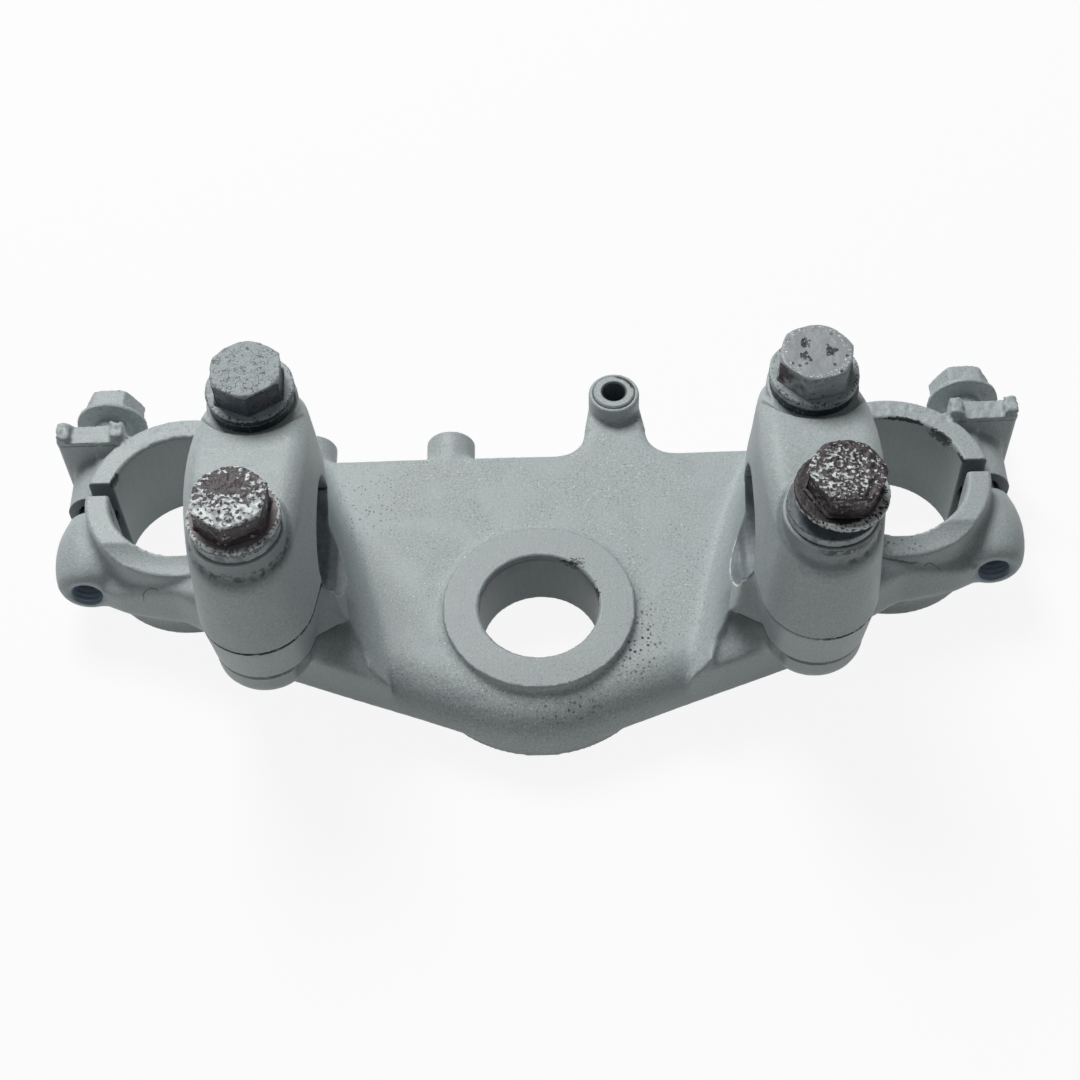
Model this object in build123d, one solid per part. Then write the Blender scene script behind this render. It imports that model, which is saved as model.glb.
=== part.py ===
from build123d import *
import math
import os

os.makedirs("parts", exist_ok=True)

# Upper fork yoke of a small motorcycle, with the two handlebar clamps cast on.
# Millimetres. Origin: the steering stem's axis, level with the top of the stem boss.
# +Z runs up the stem, +Y to the front wheel, +X to the rider's right.

# Steering stem boss
stem_bore = 24.5
stem_boss_top = 39.4
stem_boss_foot = 52.6
stem_boss_drop = 2.5
bore_chamfer = 0.4

# Plate between the clamps
plate_top = -2.0
plate_thickness = 11.5
plate_front = 41.0
plate_half_width = 58.0
rear_wall = 26.7
rear_sweep = 20.8
rear_edge_radius = 8.0
front_edge_radius = 1.5

# Fork clamps
fork_spacing = 150.0
fork_offset = 27.0
fork_tube = 30.0
fork_fit = 0.05
ring_wall = 5.15
ring_top = 5.5
ring_height = 24.0
ring_edge = 0.5
ring_foot_edge = 0.9
fork_top_relief = 0.5

# Pinch lugs beside each fork clamp
pinch_reach = 20.0
pinch_level = -6.0
slot_width = 3.0
slot_ahead = 1.6
rear_lug_radius = 7.6
rear_lug_end_radius = 5.8
rear_lug_length = 17.6
front_lug_radius = 6.5
front_lug_length = 11.0
lug_web_top = 3.0
lug_web_level_to = 70.5
lug_web_fall = 18.0
lug_web_corner = 2.5
lug_web_foot_radius = 5.0
lug_web_behind = 2.2
ear_width = 14.5
ear_thickness = 5.0
ear_shift = 1.0
ear_foot = -17.5
ear_corner = 1.2
nub_width = 2.9
nub_height = 1.8

# Handlebar clamps
clamp_spacing = 109.2
bar_tube = 22.2
bar_fit = 0.05
bar_ahead = 8.0
bar_level = 16.0
bolt_pitch = 33.0
clamp_end_radius = 11.45
clamp_bow = 1.7
clamp_behind = 0.45
bar_mouth_chamfer = 1.2
parting_chamfer = 0.3
saddle_step = 10.5
saddle_draft = 6.5
column_in = 1.35
column_foot = -1.5
column_foot_radius = 2.5

# Clamp caps, measured up from the handlebar's axis
rear_seat = 25.5
front_seat = 22.2
cap_crown = 25.3
cap_crown_behind = 5.0
rear_shoulder = 19.5
front_shoulder = 13.0
cap_draft = 4.0
cap_edge_radius = 4.0
spotface_radius = 10.2
seat_boss_radius = 9.0
seat_boss_depth = 8.0

# Flank from each bar clamp down to the plate: three sections from rear to front.
# Each gives the flank's crest, a point half way down and its foot, in from the clamp's middle.
flank_rear = ((15.8, 13.0), (17.5, 6.3), 26.5)
flank_middle = ((13.2, 14.0), (14.3, 4.9), 19.3)
flank_front = ((6.0, 1.5), (7.3, -0.5), 8.3)
flank_root = 5.5

# Rear end of each flank, as lines across it at three levels. Each line gives its places
# along the bike beside the clamp's column and at the flank's inner side.
back_outer = 8.0
back_inner = 20.0
back_top = (-5.0, -2.2)
back_step = (-11.6, -4.3)
hollow_in = 0.9

# Bosses along the front edge
front_boss_radius = 5.4
front_boss_length = 7.0
front_boss_places = (-49.6, -19.0)
front_boss_screw = 6.0
front_boss_screw_depth = 12.0

# Front lug with its threaded bush
lug_place = 17.3
lug_ahead = 54.2
lug_top = 2.0
lug_boss_radius = 5.6
lug_spread = 2.2
lug_root_radius = 6.0
bush_diameter = 9.0
bush_screw = 6.0
bush_length = 9.0
bush_fit = 0.05
bush_proud = 0.3

# Fasteners
bolt_size = 8.0
bolt_length = 40.0
bolt_head_flats = 14.0
bolt_head_height = 5.6
bolt_head_chamfer = 25.0
bolt_hole_fit = 0.3
thread_ratio = 0.85
thread_fit = 0.05
thread_length = 22.0
hole_run_out = 2.0
flat_washer_diameter = 17.5
flat_washer_thickness = 1.6
spring_washer_diameter = 17.0
spring_washer_thickness = 2.2
spring_washer_gap = 1.0
head_turns = {"left": (24.0, 33.0), "right": (0.0, 14.0)}
washer_hole_fit = 0.25
loose_bolt_lift = 2.6
pinch_head_flats = 12.0
pinch_head_height = 6.2
pinch_flange_diameter = 15.6
pinch_flange_thickness = 1.5
pinch_gap = 8.5
pinch_length = 40.0

# Worked-out places
plate_foot = plate_top - plate_thickness
stem_boss_bottom = plate_foot - stem_boss_drop
ring_foot = ring_top - ring_height
fork_x = fork_spacing / 2
fork_radius = fork_tube / 2 + fork_fit
ring_radius = fork_radius + ring_wall
pinch_x = fork_x + pinch_reach
slot_y = fork_offset + slot_ahead
slot_front = slot_y + slot_width / 2
slot_rear = slot_y - slot_width / 2
rear_lug_end = slot_rear - rear_lug_length
ear_rear = slot_front + front_lug_length
ear_front = ear_rear + ear_thickness
clamp_x = clamp_spacing / 2
bar_radius = bar_tube / 2 + bar_fit
washer_stack = spring_washer_thickness + flat_washer_thickness
step_level = bar_level - saddle_step
clamp_y = bar_ahead - clamp_behind
bolt_seats = (("rear", -bolt_pitch / 2, rear_seat), ("front", bolt_pitch / 2, front_seat))
sweep = math.radians(rear_sweep)
rear_apex = -rear_wall / math.cos(sweep)


def cylinder_up(radius, x, y, low, high):
    """Upright cylinder between two levels."""
    return Pos(x, y, low) * extrude(Circle(radius), high - low)


def cylinder_ahead(radius, x, z, rear, front):
    """Cylinder along Y between two places."""
    return Pos(x, rear, z) * Rot(-90, 0, 0) * extrude(Circle(radius), front - rear)


def rear_wall_at(x):
    """Place of the swept rear wall beside the stem."""
    return rear_apex + x * math.tan(sweep)


def oval(end_radius, bow):
    """Plan of a bar clamp: two round ends about the bolts, joined by bowed sides."""
    half = bolt_pitch / 2
    width = end_radius + bow
    side = (width**2 + half**2 - end_radius**2) / (2 * bow)
    run = side - end_radius
    touch_x = end_radius * (side - width) / run
    touch_y = half + end_radius * half / run
    tip = half + end_radius
    edges = [
        ThreePointArc((touch_x, -touch_y), (width, 0), (touch_x, touch_y)),
        ThreePointArc((touch_x, touch_y), (0, tip), (-touch_x, touch_y)),
        ThreePointArc((-touch_x, touch_y), (-width, 0), (-touch_x, -touch_y)),
        ThreePointArc((-touch_x, -touch_y), (0, -tip), (touch_x, -touch_y)),
    ]
    return make_face(edges)


def plate_plan():
    """Plan of the plate: straight front with a lug, swept rear round the stem boss."""
    side = rear_wall_at(clamp_x)
    wide = lug_boss_radius + lug_spread
    corners = [
        (-plate_half_width, plate_front),
        (lug_place - wide, plate_front),
        (lug_place - lug_boss_radius, lug_ahead),
        (lug_place + lug_boss_radius, lug_ahead),
        (lug_place + wide, plate_front),
        (plate_half_width, plate_front),
        (plate_half_width, fork_offset),
        (clamp_x, side),
        (0, rear_apex),
        (-clamp_x, side),
        (-plate_half_width, fork_offset),
    ]
    outline = make_face(Polyline(*corners, close=True))
    outline = fillet(outline.vertices().sort_by(Axis.Y)[0], rear_wall)
    roots = [v for v in outline.vertices() if v.Y == plate_front and abs(v.X) < plate_half_width - 1]
    return fillet(roots, lug_root_radius)


def plate():
    """Plate with its rounded top edges and the raised boss of its lug."""
    body = Pos(0, 0, plate_foot) * extrude(plate_plan(), plate_thickness)
    rim = body.faces().sort_by(Axis.Z)[-1].edges()
    inner = [edge for edge in rim if abs(edge.center().X) < clamp_x]
    rear = [edge for edge in inner if edge.center().Y < 0]
    body = fillet(rear, rear_edge_radius)
    rim = body.faces().sort_by(Axis.Z)[-1].edges()
    front = [edge for edge in rim if plate_front - 1 < edge.center().Y < lug_ahead - 1]
    body = fillet(front, front_edge_radius)
    boss = cylinder_up(lug_boss_radius, lug_place, lug_ahead, plate_foot, lug_top)
    return body + chamfer(boss.edges().sort_by(Axis.Z)[-1], ring_edge)


def front_bosses():
    """Round bosses that point forward out of the front edge."""
    level = plate_top - front_boss_radius
    solids = []
    for x in front_boss_places:
        rear = plate_front - front_boss_radius
        boss = cylinder_ahead(front_boss_radius, x, level, rear, plate_front + front_boss_length)
        solids.append(fillet(boss.edges().sort_by(Axis.Y)[-1], ring_edge))
    return solids


def fork_ring():
    """Ring of one fork clamp, with its machined faces broken at the edges."""
    ring = cylinder_up(ring_radius, fork_x, fork_offset, ring_foot, ring_top)
    ring = chamfer(ring.edges().sort_by(Axis.Z)[-1], ring_edge)
    return chamfer(ring.edges().sort_by(Axis.Z)[0], ring_foot_edge)


def rear_lug():
    """Barrel that takes the pinch bolt's thread, with the web that ties it to the ring."""
    middle = (rear_lug_end + slot_rear) / 2
    outline = [
        Line((pinch_x, rear_lug_end), (pinch_x + rear_lug_end_radius, rear_lug_end)),
        ThreePointArc(
            (pinch_x + rear_lug_end_radius, rear_lug_end),
            (pinch_x + rear_lug_radius, middle),
            (pinch_x + rear_lug_end_radius, slot_rear),
        ),
        Line((pinch_x + rear_lug_end_radius, slot_rear), (pinch_x, slot_rear)),
        Line((pinch_x, slot_rear), (pinch_x, rear_lug_end)),
    ]
    barrel = revolve(make_face(outline), Axis((pinch_x, 0, 0), (0, 1, 0)))
    barrel = Pos(0, 0, pinch_level) * barrel
    barrel = fillet(barrel.edges().sort_by(Axis.Y)[0], lug_web_corner)
    return barrel + lug_web()


def lug_web():
    """Web from the clamp's column past the ring to the barrel, falling towards the barrel."""
    corners = [
        (clamp_x, rear_wall_at(clamp_x)),
        (fork_x, fork_offset - ring_radius - lug_web_behind),
        (pinch_x - rear_lug_radius, rear_lug_end - lug_web_corner),
        (pinch_x, rear_lug_end + lug_web_corner / 2),
        (pinch_x, slot_rear),
        (fork_x, slot_rear),
        (clamp_x, fork_offset),
    ]
    plan = make_face(Polyline(*corners, close=True))
    web = Pos(0, 0, plate_foot) * extrude(plan, lug_web_top - plate_foot)
    foot = web.faces().sort_by(Axis.Z)[0].edges().sort_by(Axis.Y)[:3]
    web = fillet(foot, lug_web_foot_radius)
    rim = web.faces().sort_by(Axis.Z)[-1].edges().sort_by(Axis.Y)[:3]
    web = fillet(rim, lug_web_corner)
    fall = math.radians(lug_web_fall)
    slope = Plane((lug_web_level_to, 0, lug_web_top), z_dir=(math.sin(fall), 0, math.cos(fall)))
    return split(web, bisect_by=slope, keep=Keep.BOTTOM)


def front_ear():
    """Barrel and flat ear that the pinch bolt's head closes on."""
    barrel = cylinder_ahead(front_lug_radius, pinch_x, pinch_level, slot_front, ear_rear)
    ear_x = pinch_x + ear_shift
    ear = Pos(ear_x, (ear_rear + ear_front) / 2, (ear_foot + ring_top) / 2) * Box(
        ear_width, ear_thickness, ring_top - ear_foot
    )
    ear = fillet(ear.edges().filter_by(Axis.Z), ear_corner)
    nub = Box(nub_width, ear_thickness - ring_edge, nub_height + ear_corner)
    nub = fillet(nub.edges().sort_by(Axis.Z)[-4:], nub_width / 4)
    for side in (-1, 1):
        x = ear_x + side * (ear_width - nub_width) / 2
        ear += Pos(x, (ear_rear + ear_front) / 2, ring_top + (nub_height - ear_corner) / 2) * nub
    corners = [
        (fork_x, slot_front),
        (pinch_x, slot_front),
        (pinch_x, ear_rear),
        (ear_x, ear_front),
        (fork_x + ring_radius / 3, ear_front - ring_edge),
        (fork_x, fork_offset + ring_radius - ring_edge),
    ]
    web_top = ring_top - 2 * ring_edge - lug_web_corner
    plan = make_face(Polyline(*corners, close=True))
    return barrel + ear + Pos(0, 0, plate_foot) * extrude(plan, web_top - plate_foot)


def riser():
    """Lower half of a bar clamp, cast on the plate, with the boss behind the rear wall."""
    upper = extrude(oval(clamp_end_radius, clamp_bow), saddle_step, taper=saddle_draft)
    upper = Pos(0, 0, bar_level) * Rot(180, 0, 0) * upper
    upper = chamfer(upper.faces().sort_by(Axis.Z)[-1].edges(), parting_chamfer)
    lower = extrude(oval(clamp_end_radius - column_in, clamp_bow), step_level - column_foot)
    lower = Pos(0, 0, column_foot) * lower
    lower = fillet(lower.faces().sort_by(Axis.Z)[0].edges(), column_foot_radius)
    both = Pos(clamp_x, clamp_y, 0) * (upper + lower)
    return both + riser_root()


def riser_root():
    """Foot of a bar clamp inside the plate's outline."""
    plan = Pos(clamp_x, clamp_y) * oval(clamp_end_radius - column_in, clamp_bow)
    wide = plate_half_width + ring_radius
    limit = make_face(
        Polyline(
            (0, rear_apex),
            (wide, rear_wall_at(wide)),
            (wide, plate_front),
            (0, plate_front),
            close=True,
        )
    )
    return Pos(0, 0, plate_foot) * extrude(plan & limit, step_level - plate_foot)


def flank_section(y, crest, half_way, foot):
    """Section of a flank across the bike: a hollow curve from the clamp to the plate."""
    base = plate_top - rear_edge_radius
    root = clamp_x - flank_root
    top = (clamp_x - crest[0], crest[1])
    foot_x = clamp_x - foot
    outline = [
        Line((root, base), (root, top[1])),
        Line((root, top[1]), top),
        ThreePointArc(top, (clamp_x - half_way[0], half_way[1]), (foot_x, plate_top)),
        Line((foot_x, plate_top), (foot_x, base)),
        Line((foot_x, base), (root, base)),
    ]
    return Pos(0, y, 0) * Rot(90, 0, 0) * make_face(outline)


def flank():
    """Web that carries a bar clamp's load into the plate, cut off by the rear wall."""
    sections = [
        flank_section(rear_apex, *flank_rear),
        flank_section(bar_ahead, *flank_middle),
        flank_section(plate_front - front_edge_radius, *flank_front),
    ]
    limit = Pos(0, 0, plate_foot) * extrude(plate_plan(), bar_level - plate_foot)
    return (loft(sections) & limit) - flank_back()


def behind(level, outer_y, inner_y):
    """Level area behind a line that runs in from a bar clamp's column."""
    outer_x = clamp_x - back_outer
    inner_x = clamp_x - back_inner
    far = 2 * rear_apex
    corners = [(outer_x, outer_y), (inner_x, inner_y), (inner_x, far), (outer_x, far)]
    return Pos(0, 0, level) * make_face(Polyline(*corners, close=True))


def flank_back():
    """Space behind a flank: its rear leans back to the step, with a hollow under it."""
    hollow_top = behind(step_level, *(y + hollow_in for y in back_step))
    wall = [rear_wall_at(clamp_x - place) for place in (back_outer, back_inner)]
    hollow = loft([behind(column_foot, *wall), hollow_top], ruled=True)
    return hollow + loft([behind(step_level, *back_step), behind(bar_level, *back_top)], ruled=True)


def thread_hole(y, seat):
    """Blind tapped hole for a cap bolt, down from the parting face."""
    reach = bar_level + seat + washer_stack - bolt_length - hole_run_out
    return cylinder_up(bolt_size * thread_ratio / 2, clamp_x, bar_ahead + y, reach, bar_level)


def bar_bore():
    """Space of the handlebar through one clamp, wider past the clamp's sides."""
    mouth = clamp_end_radius + clamp_bow
    wide = bar_radius + bar_mouth_chamfer
    reach = mouth + flank_rear[2]
    profile = [
        (0, 0),
        (0, bar_radius),
        (mouth - bar_mouth_chamfer, bar_radius),
        (mouth, wide),
        (reach, wide),
        (reach, 0),
    ]
    half = revolve(make_face(Polyline(*profile, close=True)), Axis.X)
    half = Pos(clamp_x, bar_ahead, bar_level) * half
    return half + mirror(half, Plane.YZ.offset(clamp_x))


def pinch_cuts():
    """Slot through the fork clamp and the pinch bolt's two holes."""
    reach = ring_radius + pinch_reach
    middle = Pos(fork_x + reach / 2, slot_y, (ring_top + ring_foot) / 2)
    slot = middle * Box(reach, slot_width, 2 * ring_height)
    thread_radius = bolt_size * thread_ratio / 2
    clear_radius = bolt_size / 2 + bolt_hole_fit
    tapped = cylinder_ahead(thread_radius, pinch_x, pinch_level, rear_lug_end - 1, slot_y)
    clear = cylinder_ahead(clear_radius, pinch_x, pinch_level, slot_y, ear_front + 1)
    return [slot, tapped, clear]


def fork_cuts():
    """Fork tube's bore through the clamp, and the room kept for its top above the ring."""
    bore = cylinder_up(fork_radius, fork_x, fork_offset, ring_foot - 1, ring_top + 1)
    relief = cylinder_up(fork_radius + fork_top_relief, fork_x, fork_offset, ring_top, bar_level + 1)
    rim = Cone(fork_radius, fork_radius + 2 * ring_edge, 2 * ring_edge)
    top = Pos(fork_x, fork_offset, ring_top) * rim
    foot = Pos(fork_x, fork_offset, ring_foot) * Rot(180, 0, 0) * rim
    return [bore, relief, top, foot]


def stem_cuts():
    """Steering stem's bore with a small chamfer at both ends."""
    radius = stem_bore / 2
    bore = cylinder_up(radius, 0, 0, stem_boss_bottom - 1, 1)
    rim = Cone(radius, radius + 2 * bore_chamfer, 2 * bore_chamfer)
    return [bore, rim, Pos(0, 0, stem_boss_bottom) * Rot(180, 0, 0) * rim]


def yoke():
    """The whole casting."""
    top_boss = cylinder_up(stem_boss_top / 2, 0, 0, plate_foot, 0)
    foot_boss = cylinder_up(stem_boss_foot / 2, 0, 0, stem_boss_bottom, plate_top - rear_edge_radius)
    body = plate() + top_boss + foot_boss
    body += front_bosses()
    one_side = fork_ring() + rear_lug() + front_ear() + riser() + flank()
    body += [one_side, mirror(one_side, Plane.YZ)]
    holes = [thread_hole(y, seat) for _, y, seat in bolt_seats]
    side_cuts = [bar_bore(), *pinch_cuts(), *fork_cuts(), *holes]
    body -= side_cuts
    body -= [mirror(cut, Plane.YZ) for cut in side_cuts]
    level = plate_top - front_boss_radius
    tip = plate_front + front_boss_length
    screw_radius = front_boss_screw * thread_ratio / 2
    for x in front_boss_places:
        body -= cylinder_ahead(screw_radius, x, level, tip - front_boss_screw_depth, tip)
    bush_radius = bush_diameter / 2 + bush_fit
    body -= cylinder_up(bush_radius, lug_place, lug_ahead, lug_top - bush_length, lug_top)
    return body - stem_cuts()


def cap():
    """Upper half of a bar clamp: an arched cap with a round seat for each bolt."""
    tall = cap_crown + 1
    body = Pos(0, -clamp_behind, 0) * extrude(oval(clamp_end_radius, clamp_bow), tall, taper=cap_draft)
    reach = bolt_pitch / 2 + clamp_end_radius + clamp_behind
    rear_top = (-reach, rear_shoulder)
    front_top = (reach, front_shoulder)
    outline = [
        Line((-reach, 0), (reach, 0)),
        Line((reach, 0), front_top),
        ThreePointArc(front_top, (-cap_crown_behind, cap_crown), rear_top),
        Line(rear_top, (-reach, 0)),
    ]
    turn = Rot(0, 0, 90) * Rot(90, 0, 0)
    body &= extrude(turn * make_face(outline), 2 * clamp_end_radius, both=True)
    body = fillet(body.faces().sort_by(Axis.Z)[-1].edges(), cap_edge_radius)
    for _, y, seat in bolt_seats:
        body += cylinder_up(seat_boss_radius, 0, y, seat - seat_boss_depth, seat)
        body -= cylinder_up(spotface_radius, 0, y, seat, tall)
        body -= cylinder_up(bolt_size / 2 + bolt_hole_fit, 0, y, -1, tall)
    body = chamfer(body.faces().sort_by(Axis.Z)[0].outer_wire().edges(), parting_chamfer)
    body = Pos(clamp_x, bar_ahead, bar_level) * body
    return body - bar_bore()


def hexagon(flats, height, chamfer_angle):
    """Bolt head, its upper corners turned off to a cone."""
    corner = flats / math.sqrt(3)
    head = extrude(RegularPolygon(corner, 6), height)
    fall = (corner - flats / 2) * math.tan(math.radians(chamfer_angle))
    turned = Cone(corner + height / math.tan(math.radians(chamfer_angle)), flats / 2, height + fall)
    return head & Pos(0, 0, (height - fall) / 2) * turned


def bolt(length):
    """Bolt shank below its head: a plain length, then the thread's core."""
    plain = length - thread_length
    core = bolt_size * thread_ratio / 2 - thread_fit
    shank = cylinder_up(bolt_size / 2, 0, 0, -plain, 0)
    thread = cylinder_up(core, 0, 0, -length, -plain)
    return shank + chamfer(thread.edges().sort_by(Axis.Z)[0], bolt_hole_fit)


def cap_bolt():
    """Hexagon bolt of a bar clamp, standing on its head's lower face."""
    return hexagon(bolt_head_flats, bolt_head_height, bolt_head_chamfer) + bolt(bolt_length)


def pinch_bolt():
    """Hexagon bolt with a round flange under its head."""
    disc = extrude(Circle(pinch_flange_diameter / 2), pinch_flange_thickness)
    disc = fillet(disc.edges().sort_by(Axis.Z)[-1], pinch_flange_thickness / 2)
    head = hexagon(pinch_head_flats, pinch_head_height, bolt_head_chamfer)
    return disc + head + bolt(pinch_length)


def flat_washer():
    """Plain round washer."""
    ring = Circle(flat_washer_diameter / 2) - Circle(bolt_size / 2 + washer_hole_fit)
    return extrude(ring, flat_washer_thickness)


def spring_washer():
    """Split washer, closed flat."""
    ring = Circle(spring_washer_diameter / 2) - Circle(bolt_size / 2 + washer_hole_fit)
    gap = Pos(spring_washer_diameter / 2, 0) * Rectangle(spring_washer_diameter, spring_washer_gap)
    return extrude(ring - gap, spring_washer_thickness)


def bush():
    """Threaded bush pressed in the front lug."""
    ring = Circle(bush_diameter / 2) - Circle(bush_screw * thread_ratio / 2)
    body = extrude(ring, bush_length + bush_proud)
    body = chamfer(body.faces().sort_by(Axis.Z)[-1].edges(), bush_proud)
    return Pos(lug_place, lug_ahead, lug_top - bush_length) * body


def keep(name, shape):
    """Writes one piece to its own file."""
    export_step(shape, f"parts/{name}.step")


right_cap = cap()
keep("yoke_casting", yoke())
keep("bar_cap_right", right_cap)
keep("bar_cap_left", mirror(right_cap, Plane.YZ))
keep("lug_bush", bush())

for side, x in (("left", -clamp_x), ("right", clamp_x)):
    for (end, y, seat), turn in zip(bolt_seats, head_turns[side]):
        lift = loose_bolt_lift if (side, end) == ("right", "rear") else 0
        place = Pos(x, bar_ahead + y, bar_level + seat)
        washer_place = place * Pos(0, 0, spring_washer_thickness + lift)
        head_place = place * Pos(0, 0, washer_stack + lift) * Rot(0, 0, turn)
        keep(f"spring_washer_{side}_{end}", place * spring_washer())
        keep(f"flat_washer_{side}_{end}", washer_place * flat_washer())
        keep(f"cap_bolt_{side}_{end}", head_place * cap_bolt())

pinch_head_y = ear_front + pinch_gap
for side, x in (("left", -pinch_x), ("right", pinch_x)):
    keep(f"pinch_bolt_{side}", Pos(x, pinch_head_y, pinch_level) * Rot(-90, 0, 0) * pinch_bolt())
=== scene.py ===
import math

import bmesh
import bpy
import numpy as np
from mathutils import Matrix, Vector, noise


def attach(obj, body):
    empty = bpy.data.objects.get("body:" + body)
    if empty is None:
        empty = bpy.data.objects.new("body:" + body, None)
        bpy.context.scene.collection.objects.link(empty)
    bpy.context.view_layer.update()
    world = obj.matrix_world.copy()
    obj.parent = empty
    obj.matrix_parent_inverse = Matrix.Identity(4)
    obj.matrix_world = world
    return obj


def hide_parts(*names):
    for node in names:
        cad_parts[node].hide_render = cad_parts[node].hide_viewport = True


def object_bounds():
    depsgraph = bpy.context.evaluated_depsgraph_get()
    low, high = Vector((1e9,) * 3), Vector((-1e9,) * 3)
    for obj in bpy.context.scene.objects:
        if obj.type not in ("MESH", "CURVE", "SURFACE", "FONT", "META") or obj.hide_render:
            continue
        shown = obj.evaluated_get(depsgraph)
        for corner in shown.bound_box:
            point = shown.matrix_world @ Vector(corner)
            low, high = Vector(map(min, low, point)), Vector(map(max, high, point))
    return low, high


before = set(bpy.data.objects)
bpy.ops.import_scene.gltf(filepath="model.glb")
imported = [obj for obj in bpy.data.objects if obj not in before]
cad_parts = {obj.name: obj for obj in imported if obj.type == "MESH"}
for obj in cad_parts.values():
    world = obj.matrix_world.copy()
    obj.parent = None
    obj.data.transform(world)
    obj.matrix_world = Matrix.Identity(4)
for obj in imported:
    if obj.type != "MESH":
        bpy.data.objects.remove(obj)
cad_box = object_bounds()

# Everything below is in the part's own frame, in metres, with the stem's axis at the origin.
MM = 0.001

# Places on the part that the finishes and the skins share, in millimetres
FORK_X, FORK_Y, FORK_RADIUS, RING_RADIUS = 75.0, 27.0, 15.05, 20.2
RING_TOP, RING_FOOT, PLATE_TOP = 5.5, -18.5, -2.0
STEM_RADIUS, STEM_BOSS_RADIUS, STEM_BOSS_FOOT = 12.25, 19.7, -16.0
CLAMP_X, BAR_Y, BAR_Z, BAR_RADIUS = 54.6, 8.0, 16.0, 11.15
MOUTH_RADIUS = BAR_RADIUS + 1.62
BOLT_PITCH, REAR_SEAT, FRONT_SEAT, SPOTFACE_RADIUS = 33.0, 41.5, 38.2, 10.2
PINCH_X, PINCH_Z, SLOT_Y, SLOT_HALF, EAR_REAR = 95.0, -6.0, 28.6, 1.5, 41.1
LUG_X, LUG_Y, BUSH_RADIUS, BUSH_SCREW = 17.3, 54.2, 4.5, 2.55
SCREW_BOSS_TIP = 48.0

# Cap bolts and their washers, in millimetres: heights, how far the loose bolt is out, and the radii
# that the marks on heads and washers go by
HEAD_HEIGHT, STACK_HEIGHT, SPRING_HEIGHT, LOOSE_LIFT = 5.6, 3.8, 2.2, 2.6
HEAD_RADIUS, WASHER_RADIUS = 7.0, 8.75

# The loose bolt and its washer lean to the rider's right from this level, by this slope
LEAN_FOOT, LEAN_SLOPE = REAR_SEAT - 16.0, 0.045

# Pitch and height of the thread-like turns in the empty pinch holes, and depth of the flanks' hollows
PINCH_PITCH, PINCH_TURN, FLANK_HOLLOW = 1.25, 0.28, 1.3

# Depth of the bump on grey paint, on steel and on flaking or blistered paint, in millimetres
PAINT_BUMP, STEEL_BUMP, FLAKE_BUMP = 0.11, 0.12, 0.13

# Colours, as they would look on a screen under plain light
PAINT = (0.655, 0.695, 0.698)
PAINT_LIGHT = (0.800, 0.825, 0.820)
PAINT_DARK = (0.500, 0.530, 0.530)
BORE = (0.560, 0.590, 0.600)
BORE_DARK = (0.400, 0.435, 0.455)
LINE = (0.130, 0.140, 0.145)
STEEL_BLUE = (0.270, 0.310, 0.345)
STEEL_LIGHT = (0.620, 0.690, 0.750)
STEEL_BROWN = (0.330, 0.290, 0.300)
RUST = (0.300, 0.255, 0.268)
RUST_DARK = (0.150, 0.120, 0.125)
RUST_PALE = (0.520, 0.480, 0.490)
SATIN = (0.610, 0.625, 0.640)
FLAKE = (0.880, 0.900, 0.900)


def linear(colour):
    """Screen colour as the light values that a shader takes."""
    return tuple(c / 12.92 if c <= 0.04045 else ((c + 0.055) / 1.055) ** 2.4 for c in colour) + (1.0,)


class Field:
    """One output of a material's node, which plain sums can be written with."""

    def __init__(self, finish, socket):
        self.finish = finish
        self.socket = socket

    def sum(self, operation, *others):
        """This value, and any others, through one Math node."""
        inputs = dict(enumerate((self, *others)))
        return self.finish.node("ShaderNodeMath", {"operation": operation}, inputs)

    def __add__(self, other):
        return self.sum("ADD", other)

    __radd__ = __add__

    def __sub__(self, other):
        return self.sum("SUBTRACT", other)

    def __rsub__(self, other):
        return self.finish.node("ShaderNodeMath", {"operation": "SUBTRACT"}, {0: other, 1: self})

    def __mul__(self, other):
        return self.sum("MULTIPLY", other)

    __rmul__ = __mul__

    def __abs__(self):
        return self.sum("ABSOLUTE")

    def root(self):
        """Square root."""
        return self.sum("SQRT")

    def most(self, other):
        """The larger of this and another."""
        return self.sum("MAXIMUM", other)

    def least(self, other):
        """The smaller of this and another."""
        return self.sum("MINIMUM", other)

    def ramp(self, low, high):
        """0 below low and 1 above high, or the other way round where low is the larger."""
        inputs = {"Value": self, "From Min": low, "From Max": high}
        return self.finish.node("ShaderNodeMapRange", {"interpolation_type": "SMOOTHSTEP"}, inputs)


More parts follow.
